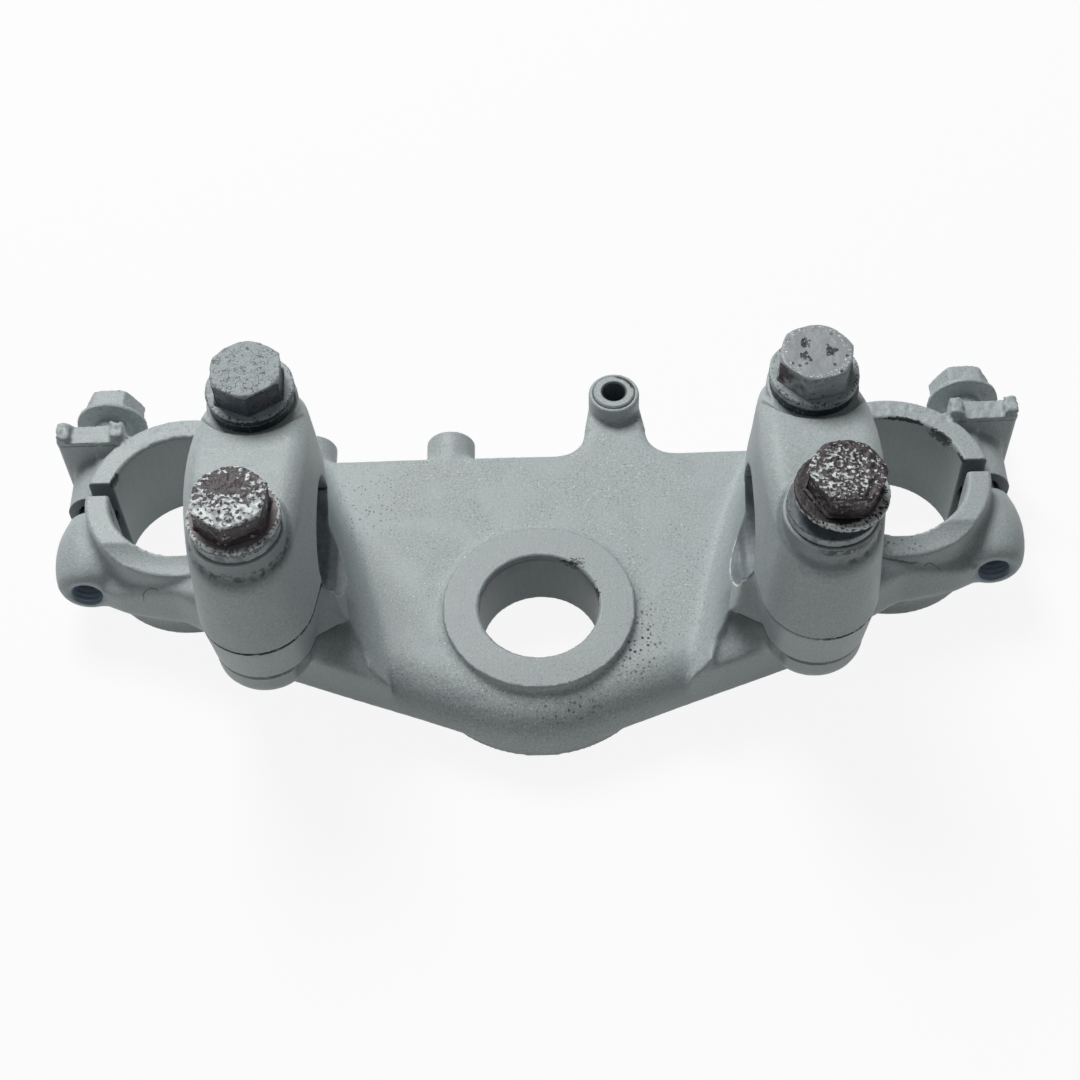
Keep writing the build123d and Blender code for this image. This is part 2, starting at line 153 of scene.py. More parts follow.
class Finish:
    """A material being made, with the place on the piece in millimetres."""

    def __init__(self, name):
        self.material = bpy.data.materials.new(name)
        self.material.use_nodes = True
        self.tree = self.material.node_tree
        self.tree.nodes.clear()
        point = self.node("ShaderNodeTexCoord", {}, {}, "Object")
        self.place = self.vector("SCALE", point, {"Scale": 1 / MM})
        self.x, self.y, self.z = (self.along(axis) for axis in "XYZ")

    def node(self, kind, settings, inputs, output=0):
        """A new node's output. Its settings are made first, then its inputs are set or linked."""
        made = self.tree.nodes.new(kind)
        for name, value in settings.items():
            setattr(made, name, value)
        for key, value in inputs.items():
            if isinstance(value, Field):
                self.tree.links.new(value.socket, made.inputs[key])
            else:
                made.inputs[key].default_value = value
        return Field(self, made.outputs[output])

    def along(self, axis):
        """The place's measure along one axis."""
        return self.node("ShaderNodeSeparateXYZ", {}, {0: self.place}, axis)

    def vector(self, operation, first, inputs):
        """A vector through one Vector Math node."""
        return self.node("ShaderNodeVectorMath", {"operation": operation}, {0: first, **inputs})

    def mix(self, factor, first, second):
        """Colour between two colours, the second where the factor is 1."""
        inputs = {0: factor, 6: first, 7: second}
        return self.node("ShaderNodeMix", {"data_type": "RGBA", "clamp_factor": True}, inputs, 2)

    def away(self, first, second):
        """Length of the two offsets together."""
        return (first * first + second * second).root()

    def noise(self, size, detail, roughness, shift=0.0, stretch=(1.0, 1.0, 1.0)):
        """Soft random values near 0.5, whose patches are about size millimetres across."""
        place = self.vector("MULTIPLY_ADD", self.place, {1: stretch, 2: (shift, shift, shift)})
        inputs = {"Vector": place, "Scale": 1 / size, "Detail": detail, "Roughness": roughness}
        return self.node("ShaderNodeTexNoise", {}, inputs, "Fac")

    def dots(self, pitch, radius, share, shift):
        """Round dots in a share of the cells of an uneven grid: 1 inside a dot."""
        place = self.vector("ADD", self.place, {1: (shift, shift, shift)})
        near = {"Vector": place, "Scale": 1 / pitch}
        distance = self.node("ShaderNodeTexVoronoi", {}, near, "Distance")
        colour = Field(self, distance.socket.node.outputs["Color"])
        chance = self.node("ShaderNodeSeparateColor", {}, {0: colour}, "Red")
        inside = distance.ramp(radius / pitch * 1.25, radius / pitch * 0.75)
        return inside * chance.ramp(share + 0.02, share - 0.02)

    def spot(self, centre, reach, soft):
        """1 round a place, falling to 0 at the reach on each axis over its outer share soft."""
        offset = self.vector("SUBTRACT", self.place, {1: centre})
        offset = self.vector("DIVIDE", offset, {1: reach})
        distance = self.node("ShaderNodeVectorMath", {"operation": "LENGTH"}, {0: offset}, "Value")
        return distance.ramp(1.0, 1.0 - soft)

    def shine(self, colour, roughness, height, depth):
        """Closes the material: its colours, and a bump of that depth in millimetres."""
        inputs = {"Height": height, "Distance": depth * MM, "Strength": 1.0}
        normal = self.node("ShaderNodeBump", {}, inputs)
        inputs = {"Base Color": colour, "Roughness": roughness, "Metallic": 0.0, "Normal": normal}
        self.close(self.node("ShaderNodeBsdfPrincipled", {}, inputs))
        return self.material

    def close(self, shader):
        """Links a shader to the material's output."""
        output = self.tree.nodes.new("ShaderNodeOutputMaterial")
        self.tree.links.new(shader.socket, output.inputs["Surface"])


class CastingFinish(Finish):
    """A finish of the yoke, with the distances in millimetres and the noises that its marks go by."""

    def __init__(self, name):
        super().__init__(name)
        self.side = abs(self.x)
        self.on_right = self.x.ramp(-1.0, 1.0)
        self.inward = CLAMP_X - self.side
        self.by_clamp = abs(self.inward)
        self.from_stem = self.away(self.x, self.y)
        self.from_fork = self.away(self.side - FORK_X, self.y - FORK_Y)
        self.from_bar = self.away(self.y - BAR_Y, self.z - BAR_Z)
        self.stem_wall = self.from_stem.ramp(STEM_RADIUS + 0.5, STEM_RADIUS + 0.25) * self.z.ramp(-0.3, -1.0)
        self.ragged = self.noise(1.6, 3.0, 0.65, 400.0)
        self.crumb = self.noise(0.9, 3.0, 0.7, 420.0)


def most_of(first, *others):
    """The largest of several values at each place."""
    for other in others:
        first = first.most(other)
    return first


def paint_coat(f, smooth, sandy):
    """Colour, roughness and height of the grey paint: even where smooth is 1, gritty where sandy is 1."""
    grain = f.noise(0.50, 3.0, 0.62)
    fleck = f.noise(0.24, 1.0, 0.5, 40.0)
    mottle = f.noise(12.0, 3.0, 0.55, 90.0)
    tone = grain.ramp(0.32, 0.68) * 0.6 + fleck.ramp(0.35, 0.68) * 0.4
    colour = f.mix(tone, linear(PAINT_DARK), linear(PAINT_LIGHT))
    even = 0.62 + (mottle - 0.5) * 0.35 + smooth * 0.14 - sandy * 0.22
    colour = f.mix(even, colour, linear(PAINT))
    colour = f.mix(mottle.ramp(0.58, 0.80) * 0.18, colour, linear(PAINT_DARK))
    specks = f.dots(0.85, 0.20, 0.30, 11.0) * (0.08 + sandy * 0.42)
    colour = f.mix(specks, colour, linear(STEEL_BLUE))
    sparkle = f.dots(0.75, 0.17, 0.22, 23.0) * (0.16 + sandy * 0.55)
    colour = f.mix(sparkle, colour, linear(FLAKE))
    roughness = 0.50 + (grain - 0.5) * 0.25 - smooth * 0.08 + sandy * 0.08
    return colour, roughness, grain * 0.7 + fleck * 0.3


def gritty_places(f, ring_face, boss_face):
    """1 where the casting's paint is gritty: mid plate, machined faces, saddles and the near edge."""
    plate_face = f.z.ramp(PLATE_TOP + 1.5, PLATE_TOP + 0.3) * f.z.ramp(PLATE_TOP - 3.0, PLATE_TOP - 1.0)
    patchy = f.noise(7.0, 2.0, 0.5, 210.0).ramp(0.36, 0.60)
    middle = f.side.ramp(42.0, 24.0) * plate_face * patchy
    saddle = f.from_bar.ramp(BAR_RADIUS + 0.9, BAR_RADIUS + 0.4) * f.z.ramp(10.5, 7.5)
    near_edge = f.from_stem.ramp(32.0, 25.0) * f.y.ramp(-8.0, -16.0)
    return most_of(middle, ring_face * 0.55, boss_face * 0.40, saddle * 0.8, near_edge * 0.9)


def wall_colours(f, colour, boss_face):
    """Tints of the bores and the stem's boss where the paint is thin or bare, with painted light on the fork
    bores' walls and painted shade in the bar's bore and the slots.
    """
    fork_wall = f.from_fork.ramp(FORK_RADIUS + 0.6, FORK_RADIUS + 0.25)
    fork_wall = fork_wall * f.z.ramp(RING_TOP - 0.3, RING_TOP - 0.9)
    bar_wall = f.from_bar.ramp(BAR_RADIUS + 1.6, BAR_RADIUS + 1.3) * f.by_clamp.ramp(17.5, 16.5)
    streak = f.noise(1.5, 3.0, 0.6, 300.0, (1.0, 1.0, 0.08))
    wall_tone = f.mix(streak.ramp(0.35, 0.66), linear(BORE_DARK), linear(BORE))
    # Thin paint in the bar's bore, with painted shade that grows toward its top.
    bar_thin_paint_and_shade = bar_wall * (0.55 + f.z.ramp(7.5, 11.0) * 0.45)
    bare_stem = f.stem_wall * (0.45 + streak.ramp(0.45, 0.6) * 0.4)
    # Painted light: the fork bores' walls are lightened toward pale paint.
    colour = f.mix(fork_wall * 0.35, colour, linear(PAINT_LIGHT))
    colour = f.mix(boss_face * 0.30, colour, linear(PAINT_DARK))
    colour = f.mix(most_of(fork_wall * 0.06, bar_thin_paint_and_shade, bare_stem), colour, wall_tone)
    # Painted shade: the slots' walls are darkened toward steel blue.
    slot_shade = abs(f.y - SLOT_Y).ramp(SLOT_HALF + 0.35, SLOT_HALF + 0.1) * f.from_fork.ramp(14.5, 15.3)
    slot_shade = slot_shade * f.side.ramp(85.0, 88.0) * f.z.ramp(RING_TOP + 0.1, RING_TOP - 0.7)
    return f.mix(slot_shade * 0.75, colour, linear(STEEL_BLUE))


def mouth_colours(f, colour):
    """Painted shade on the plate's flanks and deep in the right bar bore, painted light low in the left
    mouth, and painted highlights along the mouths' rims.
    """
    # Painted shade: the steep flanks are darkened toward steel blue.
    flank = f.side.ramp(30.0, 37.0) * f.side.ramp(47.5, 46.0) * f.z.ramp(-1.0, 3.0) * f.y.ramp(36.0, 28.0)
    colour = f.mix(flank * 0.20, colour, linear(STEEL_BLUE))
    mouth = f.inward.ramp(13.3, 13.8) * f.inward.ramp(20.0, 18.5) * f.z.ramp(BAR_Z - 1.0, BAR_Z - 3.0)
    # Painted light: low in the left tower's mouth, the paint is lightened where that side is lit.
    painted_light_low_mouth = mouth * f.from_bar.ramp(BAR_RADIUS + 1.7, BAR_RADIUS + 1.3) * f.z.ramp(8.0, 5.5)
    colour = f.mix(painted_light_low_mouth * f.x.ramp(1.0, -1.0) * 0.30, colour, linear(PAINT_LIGHT))
    # Painted shade: deep in the right bar bore, the paint is darkened toward steel blue.
    painted_shade_deep = f.from_bar.ramp(BAR_RADIUS + 1.6, BAR_RADIUS + 1.2) * f.inward.ramp(11.0, 13.0) * f.on_right
    colour = f.mix(painted_shade_deep * 0.50, colour, linear(STEEL_BLUE))
    # Painted highlight: a ragged bright line along each mouth's rim, stronger on the right tower.
    rim = mouth * abs(f.from_bar - MOUTH_RADIUS).ramp(0.26, 0.10)
    rim = rim * (0.35 + f.on_right * 0.65) * f.ragged.ramp(0.44, 0.54)
    return f.mix(rim * 0.85, colour, linear(FLAKE))


def faint_joint(f):
    """1 on the inner half of the right clamp, where the cap's joint hardly shows."""
    return f.x.ramp(-1.0, 1.0).least(f.x.ramp(57.0, 51.0))


def joint_and_shade_lines(f):
    """Dark lines at the caps' joints, and painted shade under each column's ledge and in the hollows beside
    it.
    """
    parting = f.z.ramp(BAR_Z - 0.75, BAR_Z - 0.50) * f.by_clamp.ramp(12.9, 12.6)
    parting = parting * (1.0 - faint_joint(f) * 0.85) * f.ragged.ramp(0.30, 0.48)
    # Painted shade: a dark line under each column's ledge.
    shade_under_step = f.z.ramp(RING_TOP + 0.55, RING_TOP + 0.30) * f.z.ramp(RING_TOP - 1.15, RING_TOP - 0.65)
    shade_under_step = shade_under_step * f.from_bar.ramp(BAR_RADIUS + 1.9, BAR_RADIUS + 2.3)
    on_column = f.by_clamp.ramp(15.5, 14.5) * f.y.ramp(7.0, 5.0)
    # Painted shade: the hollows beside each column are darkened.
    hollow_shade = f.side.ramp(33.0, 36.0) * f.side.ramp(49.0, 46.0) * f.side.ramp(34.0, 42.0) * f.y.ramp(2.0, -2.0)
    hollow_shade = hollow_shade * f.z.ramp(RING_TOP - 0.1, RING_TOP - 0.7) * f.z.ramp(-2.5, 0.5) * f.z.ramp(-0.5, 4.5)
    return most_of(parting, shade_under_step * on_column * f.ragged.ramp(0.28, 0.42), hollow_shade * 0.55)


def pits(f):
    """Dark pits in patches on the plate, its near edge and the right ring."""
    right = f.spot((20.0, -8.0, PLATE_TOP), (8.5, 17.0, 3.0), 0.9)
    near = f.spot((8.0, -24.0, PLATE_TOP - 1.0), (17.0, 5.5, 4.0), 0.8)
    ring = f.spot((74.0, 9.4, RING_TOP), (9.0, 4.6, 3.0), 0.6)
    left = f.spot((-36.0, 28.0, PLATE_TOP), (11.0, 14.0, 3.0), 0.8)
    far = f.spot((33.0, 10.0, PLATE_TOP), (12.0, 26.0, 3.0), 0.9)
    small = f.dots(0.9, 0.23, 0.60, 73.0) * most_of(right, left * 0.8, far * 0.4, near * 0.8, ring)
    large = f.dots(1.25, 0.32, 0.55, 61.0) * most_of(right, ring * 0.9, near * 0.8)
    return (small * 0.85).most(large)


def chips(f):
    """Ragged dark chips at the edges of the fork bores and of the stem's bore."""
    fork_places = (
        ((-89.3, 31.2, 4.7), (2.6, 3.6, 2.6)),
        ((-89.3, 24.6, 1.5), (1.2, 2.2, 3.8)),
        ((86.2, 37.1, 4.3), (5.5, 5.5, 2.9)),
        ((79.0, 41.3, 5.0), (8.0, 3.0, 0.8)),
        ((89.6, 30.5, 4.8), (1.4, 4.0, 1.0)),
    )
    stem_places = (
        ((7.0, 10.4, -0.8), (5.4, 2.8, 1.8)),
        ((11.9, 3.6, -1.0), (1.6, 7.0, 1.6)),
    )
    at_forks = most_of(*[f.spot(centre, reach, 0.95) for centre, reach in fork_places])
    at_forks = at_forks * f.from_fork.ramp(FORK_RADIUS + 0.9, FORK_RADIUS + 0.5)
    at_stem = most_of(*[f.spot(centre, reach, 0.7) for centre, reach in stem_places])
    near = (at_forks * 1.30).most(at_stem * 0.95)
    return (near + (f.crumb - 0.5) * 2.6).ramp(0.60, 0.70) * near.ramp(0.02, 0.2) * 0.9


def folds(f):
    """Thin dark folds of the casting on the near side of each ring, and a crease by the right one."""
    marks = []
    for x, y, radius in ((81.0, 6.4, 1.7), (-80.4, 5.6, 1.9)):
        from_fold = f.away(f.x - x, (f.y - y) * 1.8 + (f.ragged - 0.5) * 0.6)
        arc = abs(from_fold - radius).ramp(0.22, 0.08) * f.y.ramp(y, y + 0.5)
        marks.append(arc * f.z.ramp(-4.0, -3.0) * f.z.ramp(4.5, 3.5))
    from_crease = f.from_fork + (f.ragged - 0.5) * 0.7 - RING_RADIUS - 0.25
    crease = abs(from_crease).ramp(0.20, 0.07) * f.y.ramp(9.5, 8.5)
    marks.append(crease * f.x.ramp(69.5, 70.5) * f.x.ramp(79.0, 77.0) * f.z.ramp(4.6, 4.2))
    return most_of(*marks) * 0.6


def bush_sector(f):
    """1 to the front right of the bush's axis, where a dark crescent lies round it."""
    return (f.x - LUG_X).ramp(-0.5, 1.2) * (f.y - LUG_Y).ramp(0.2, 1.4)


def edge_marks(f):
    """Dark marks on the torn ears and round the bush, and a painted shade line in the stem's bore."""
    # Painted shade: a dark line below the stem bore's chamfer, stronger on the left.
    lip_shade = f.stem_wall * abs(f.z + 1.45).ramp(0.50, 0.30) * (0.40 + f.x.ramp(6.0, -4.0) * 0.60)
    ear = f.y.ramp(EAR_REAR - 1.0, EAR_REAR - 0.4) * f.y.ramp(EAR_REAR + 0.5, EAR_REAR + 0.2)
    ear = ear * f.side.ramp(87.0, 88.0) * abs(f.z - 4.5).ramp(0.3, 0.1) * f.z.ramp(3.2, 4.4)
    ear_chip = f.spot((102.5, 45.0, 6.0), (1.6, 1.8, 2.0), 0.9) * f.crumb.ramp(0.48, 0.54)
    bush_gap = f.away(f.x - LUG_X, f.y - LUG_Y).ramp(BUSH_RADIUS + 0.30, BUSH_RADIUS + 0.10)
    bush_gap = bush_gap * (0.25 + bush_sector(f) * 0.75)
    return most_of(lip_shade * 0.65, ear * f.ragged.ramp(0.42, 0.50) * 0.55, ear_chip * 0.8, bush_gap)


def casting_finish():
    """Grey paint over the sand-cast yoke, thin in the bores, with pits, chips, dark joints, painted light and
    painted shade.
    """
    f = CastingFinish("cast_paint")
    ring_face = f.from_fork.ramp(RING_RADIUS + 0.2, RING_RADIUS - 0.3)
    ring_face = ring_face * f.z.ramp(RING_TOP - 0.5, RING_TOP - 0.2)
    boss_face = f.from_stem.ramp(STEM_BOSS_RADIUS + 0.1, STEM_BOSS_RADIUS - 0.3) * f.z.ramp(-0.6, -0.3)
    gritty = gritty_places(f, ring_face, boss_face)
    colour, roughness, height = paint_coat(f, ring_face.most(boss_face), gritty)
    colour = wall_colours(f, colour, boss_face)
    colour = mouth_colours(f, colour)
    # Painted light: the empty pinch holes are lightened toward pale steel.
    pinch_hole_light = f.away(f.side - PINCH_X, f.z - PINCH_Z).ramp(4.0, 3.6)
    pinch_hole_light = pinch_hole_light * f.side.ramp(88.0, 90.0) * f.y.ramp(27.0, 25.0)
    colour = f.mix(pinch_hole_light * 0.8, colour, linear(STEEL_LIGHT))
    dark = most_of(joint_and_shade_lines(f), pits(f), chips(f), folds(f), edge_marks(f))
    colour = f.mix(dark.least(1.0), colour, linear(LINE))
    return f.shine(colour, roughness, height, PAINT_BUMP)


def cap_marks(f, from_rear, from_front):
    """Dark marks on a cap: its joint, dirt and torn paint at the seats of its bolts, and painted shade under
    the washers and at the front seat's spotface edge.
    """
    on_right = f.x.ramp(-1.0, 1.0)
    ragged = f.noise(1.6, 3.0, 0.65, 400.0)
    joint = f.z.ramp(BAR_Z + 0.42, BAR_Z + 0.22) * ragged.ramp(0.26, 0.44) * (1.0 - faint_joint(f) * 0.85)
    grime = f.noise(1.4, 3.0, 0.62, 55.0)
    low_side = from_rear.ramp(9.9, 9.0) * f.z.ramp(REAR_SEAT - 2.3, REAR_SEAT - 3.0)
    low_side = low_side * f.z.ramp(REAR_SEAT - 5.6, REAR_SEAT - 4.6) * grime.ramp(0.46, 0.60)
    low_side = low_side * (1.0 - on_right * f.x.ramp(58.0, 54.0))
    # Painted shade: a dark line round the inner edge of the front seat's spotface.
    spotface_shade_line = abs(from_front - SPOTFACE_RADIUS).ramp(0.42, 0.18)
    spotface_shade_line = spotface_shade_line * f.z.ramp(FRONT_SEAT - 3.0, FRONT_SEAT - 1.5)
    # Painted shade: the rear seat under the washers is darkened, twice as much on the right, under the loose
    # bolt.
    under = from_rear.ramp(8.9, 8.3) * f.z.ramp(REAR_SEAT - 0.7, REAR_SEAT - 0.3) * (1.0 + on_right)
    torn = from_rear.ramp(10.2, 9.8) * f.z.ramp(REAR_SEAT - 2.4, REAR_SEAT - 1.6)
    torn = torn * f.z.ramp(REAR_SEAT - 0.2, REAR_SEAT - 0.5) * grime.ramp(0.40, 0.50)
    torn = torn * f.x.ramp(50.0, 54.0) * f.x.ramp(66.0, 62.0)
    return most_of(torn, low_side * 0.75, joint, spotface_shade_line * 0.45, under * 0.4)


def cap_finish():
    """Grey paint over a bar clamp's cap, dark along the joint and in the bore."""
    f = Finish("cap_paint")
    across, along = abs(f.x) - CLAMP_X, f.y - BAR_Y
    from_rear = f.away(across, along + BOLT_PITCH / 2)
    from_front = f.away(across, along - BOLT_PITCH / 2)
    rear_seat = from_rear.ramp(SPOTFACE_RADIUS + 0.2, SPOTFACE_RADIUS - 0.1)
    rear_seat = rear_seat * f.z.ramp(REAR_SEAT - 5.5, REAR_SEAT - 3.5)
    front_seat = from_front.ramp(SPOTFACE_RADIUS + 0.2, SPOTFACE_RADIUS - 0.1)
    front_seat = front_seat * f.z.ramp(FRONT_SEAT - 5.5, FRONT_SEAT - 3.5)
    blotch = f.noise(6.0, 2.0, 0.5, 130.0).ramp(0.48, 0.66)
    colour, roughness, height = paint_coat(f, rear_seat.most(front_seat) * 0.5, blotch * 0.45)
    streak = f.noise(1.6, 3.0, 0.6, 310.0, (0.2, 1.0, 1.0)).ramp(0.35, 0.65)
    bar_wall = f.away(along, f.z - BAR_Z).ramp(BAR_RADIUS + 0.7, BAR_RADIUS + 0.3)
    colour = f.mix(bar_wall, colour, f.mix(streak, linear(BORE_DARK), linear(BORE)))
    boss_shade = from_rear.ramp(10.2, 9.6) * f.z.ramp(REAR_SEAT - 0.2, REAR_SEAT - 0.7)
    boss_shade = boss_shade * f.z.ramp(REAR_SEAT - 7.0, REAR_SEAT - 4.0)
    colour = f.mix(boss_shade * 0.45, colour, linear(STEEL_BLUE))
    colour = f.mix(cap_marks(f, from_rear, from_front).least(1.0), colour, linear(LINE))
    return f.shine(colour, roughness, height, PAINT_BUMP)


def flakes(f, size, shift, amount):
    """Ragged flakes: 1 on a flake, with more of them where the amount is larger."""
    cloud = f.noise(size, 3.0, 0.55, shift)
    return (cloud + (amount - 0.5) * 0.42).ramp(0.50, 0.545)


def painted_head_finish(top):
    """Bolt head whose top took the grey paint over old rust, with bare blue-grey sides."""
    f = Finish("blistered_bolt")
    grain = f.noise(0.35, 3.0, 0.62)
    worm = abs(f.noise(1.7, 2.0, 0.55, 17.0) - 0.5)
    groove = worm.ramp(0.016, 0.003) * f.noise(2.6, 1.0, 0.5, 3.0).ramp(0.46, 0.56)
    pit = f.dots(0.8, 0.16, 0.30, 29.0)
    level = f.z + (grain - 0.5) * 1.2
    upper = level.ramp(top - 0.95, top - 0.70)
    edge = level.ramp(top - 1.25, top - 0.95) - upper
    coat = f.mix(grain.ramp(0.3, 0.7) * 0.7, linear(PAINT), linear(PAINT_DARK))
    coat = f.mix((groove * 0.50).most(pit * 0.50), coat, linear(LINE))
    flank = f.mix(f.noise(4.0, 2.0, 0.5, 71.0).ramp(0.50, 0.76), linear(STEEL_BLUE), linear(STEEL_BROWN))
    flank = f.mix(grain.ramp(0.5, 0.75) * 0.25, flank, linear(PAINT))
    flank = f.mix(edge * 0.8, flank, linear(LINE))
    colour = f.mix(upper, flank, coat)
    height = grain * 0.8 - groove * 1.2 - pit
    return f.shine(colour, 0.55 - (1.0 - upper) * 0.12, height, FLAKE_BUMP)


def rusty_head_finish(name, middle, top, patch, cover, near_share, rim_share, size):
    """Rusty bolt head with white flakes of paint on its top, but few at the offset patch from its middle.

    The amount of flakes is cover, with near_share more at the near side and rim_share more at the rim.
    Their size is in millimetres.
    """
    f = Finish(name)
    grain = f.noise(0.40, 3.0, 0.62)
    across = f.away(f.x - middle[0], f.y - middle[1])
    upper = (f.z + (grain - 0.5) * 0.7).ramp(top - 1.15, top - 0.75)
    rim = across.ramp(HEAD_RADIUS - 2.0, HEAD_RADIUS - 0.8)
    near_side = (f.y - middle[1]).ramp(2.5, -4.0)
    bald = f.spot((middle[0] + patch[0], middle[1] + patch[1], top), (4.4, 3.0, 3.0), 0.75)
    amount = cover + rim * rim_share + near_side * near_share - bald * 0.55
    white = flakes(f, size, 37.0, amount) * upper
    patches = f.noise(4.0, 1.0, 0.5, 5.0).ramp(0.48, 0.62)
    low_white = flakes(f, size, 47.0, 0.20 + patches * 0.26) * (1.0 - upper)
    rust = f.mix(f.noise(2.2, 3.0, 0.6, 13.0).ramp(0.36, 0.62), linear(RUST_DARK), linear(RUST))
    side = f.mix(f.noise(2.8, 2.0, 0.55, 83.0).ramp(0.38, 0.62), linear(RUST_DARK), linear(STEEL_BROWN))
    colour = f.mix(upper, side, rust)
    tint = f.mix(f.noise(1.4, 2.0, 0.6, 91.0).ramp(0.42, 0.60) * 0.75, linear(FLAKE), linear(PAINT_DARK))
    colour = f.mix(white.most(low_white * 0.5), colour, tint)
    height = grain * 0.9 + white * 1.3 + low_white * 0.8
    roughness = 0.48 + (grain - 0.5) * 0.35 - white * 0.08
    return f.shine(colour, roughness, height, FLAKE_BUMP)


def satin_head_finish(middle, top):
    """Bolt head with a satin silver top, three rusty pocks, small pits and a speckled rim."""
    f = Finish("satin_bolt")
    grain = f.noise(0.35, 3.0, 0.6)
    across = f.away(f.x - middle[0], f.y - middle[1])
    upper = (f.z + (grain - 0.5) * 0.5).ramp(top - 1.15, top - 0.75)
    rim = abs(across - (HEAD_RADIUS - 0.85)).ramp(0.95, 0.35)
    crust = flakes(f, 0.5, 67.0, 0.40) * rim
    pits = f.dots(1.3, 0.30, 0.22, 31.0)
    warp = f.noise(1.1, 2.0, 0.6, 33.0) - 0.5
    pocks = []
    for across_x, across_y, size in ((-2.2, 2.3, 1.55), (-2.3, -1.3, 1.45), (2.6, 0.2, 1.75)):
        from_pock = f.away(f.x - (middle[0] + across_x), f.y - (middle[1] + across_y)) + warp * 3.4
        bitten = f.noise(0.9, 2.0, 0.6, 200.0 + 10.0 * size).ramp(0.36, 0.52)
        pocks.append(from_pock.ramp(size * 0.78, size * 0.50) * (0.25 + bitten * 0.75))
    dark = most_of(pits * 0.85, *pocks)
    plain = f.mix(grain.ramp(0.3, 0.7) * 0.4, linear(SATIN), linear(PAINT_DARK))
    plain = f.mix(crust * 0.9, plain, linear(FLAKE))
    plain = f.mix(dark.least(1.0), plain, linear(RUST_DARK))
    on_right = (f.x - middle[0]).ramp(-4.0, -1.5)
    painted = f.noise(3.5, 2.0, 0.55, 83.0).ramp(0.45, 0.65).most(on_right * 0.85)
    side = f.mix(painted, linear(STEEL_BROWN), linear(PAINT))
    low_dots = f.dots(1.1, 0.26, 0.25, 97.0)
    side = f.mix(low_dots.most(flakes(f, 1.2, 107.0, 0.16)) * 0.85, side, linear(RUST_DARK))
    colour = f.mix(upper, side, plain)
    height = grain * 0.4 + crust * 0.8 - dark * 1.3 - low_dots * (1.0 - upper)
    roughness = 0.40 + crust * 0.15 + (1.0 - upper) * 0.1
    return f.shine(colour, roughness, height, STEEL_BUMP)


def washer_finish(name, middle, level, looks, shift):
    """Washer with flakes of paint.

    Its looks are the colours of its top and of its side, which on some washers are painted shade, then the
    amounts of flakes on its upper rim and on its side.
    """
    face, side, rim_cover, side_cover = looks
    f = Finish(name)
    grain = f.noise(0.40, 3.0, 0.62, shift)
    across = f.away(f.x - middle[0], f.y - middle[1])
    upper = (f.z + (grain - 0.5) * 0.3).ramp(level - 0.55, level - 0.25)
    rim = across.ramp(WASHER_RADIUS - 1.1, WASHER_RADIUS - 0.55) * f.z.ramp(level - 1.0, level - 0.5)
    cover = side_cover * (1.0 - rim) + rim * rim_cover
    white = flakes(f, 0.60, shift, cover) * rim.most(1.0 - upper)
    dirt = f.noise(2.4, 3.0, 0.6, shift + 60.0).ramp(0.44, 0.62)
    body = f.mix(dirt * 0.5, linear(side), linear(LINE))
    top = f.mix(dirt * 0.25, linear(face), linear(STEEL_BROWN))
    colour = f.mix(upper, body, top)
    colour = f.mix(white, colour, linear(PAINT_LIGHT))
    dark_edge = flakes(f, 0.55, shift + 31.0, 0.40) * rim * (1.0 - white)
    colour = f.mix(dark_edge * 0.8, colour, linear(RUST_DARK))
    return f.shine(colour, 0.5 + (grain - 0.5) * 0.3, grain + white * 1.2, STEEL_BUMP)


def coat_finish(name, dark, shift):
    """Steel under the same grey paint as the casting, worn dark in places."""
    f = Finish(name)
    gritty = f.noise(5.0, 2.0, 0.5, shift).ramp(0.45, 0.6) * 0.5
    colour, roughness, height = paint_coat(f, 0.0, gritty)
    worn = flakes(f, 1.3, shift, dark)
    colour = f.mix(worn * 0.75, colour, linear(STEEL_BLUE))
    return f.shine(colour, roughness, height - worn * 0.8, PAINT_BUMP)


def bush_finish():
    """Painted bush, bare and dark in its threaded hole, with a dark crescent beside it."""
    f = Finish("bush_steel")
    across = f.away(f.x - LUG_X, f.y - LUG_Y)
    colour, roughness, height = paint_coat(f, 0.0, 0.3)
    hole = across.ramp(BUSH_SCREW + 0.55, BUSH_SCREW + 0.2)
    ragged = f.noise(1.2, 2.0, 0.6, 15.0)
    shifted = f.away(f.x - (LUG_X - 0.35), f.y - (LUG_Y - 0.35))
    crescent = (shifted + (ragged - 0.5) * 0.5).ramp(BUSH_RADIUS - 0.35, BUSH_RADIUS - 0.1)
    crescent = crescent * bush_sector(f)
    colour = f.mix(crescent, colour, linear(LINE))
    colour = f.mix(hole * 0.8, colour, linear(STEEL_BLUE))
    dark = crescent.most(hole * 0.3)
    return f.shine(colour, roughness, height - dark * 1.2, PAINT_BUMP)


def floor_finish():
    """Near-white floor: it mostly glows to the camera and in reflections, so its shadows stay faint."""
    f = Finish("floor_white")
    shown = f.node("ShaderNodeLightPath", {}, {}, "Is Camera Ray")
    mirrored = f.node("ShaderNodeLightPath", {}, {}, "Is Glossy Ray")
    matt = f.node("ShaderNodeBsdfDiffuse", {}, {"Color": (0.82, 0.82, 0.82, 1.0)})
    glow = f.node("ShaderNodeEmission", {}, {"Color": (1.0, 1.0, 1.0, 1.0), "Strength": 1.0})
    share = shown.most(mirrored) * 0.90
    f.close(f.node("ShaderNodeMixShader", {}, {0: share, 1: matt, 2: glow}))
    return f.material


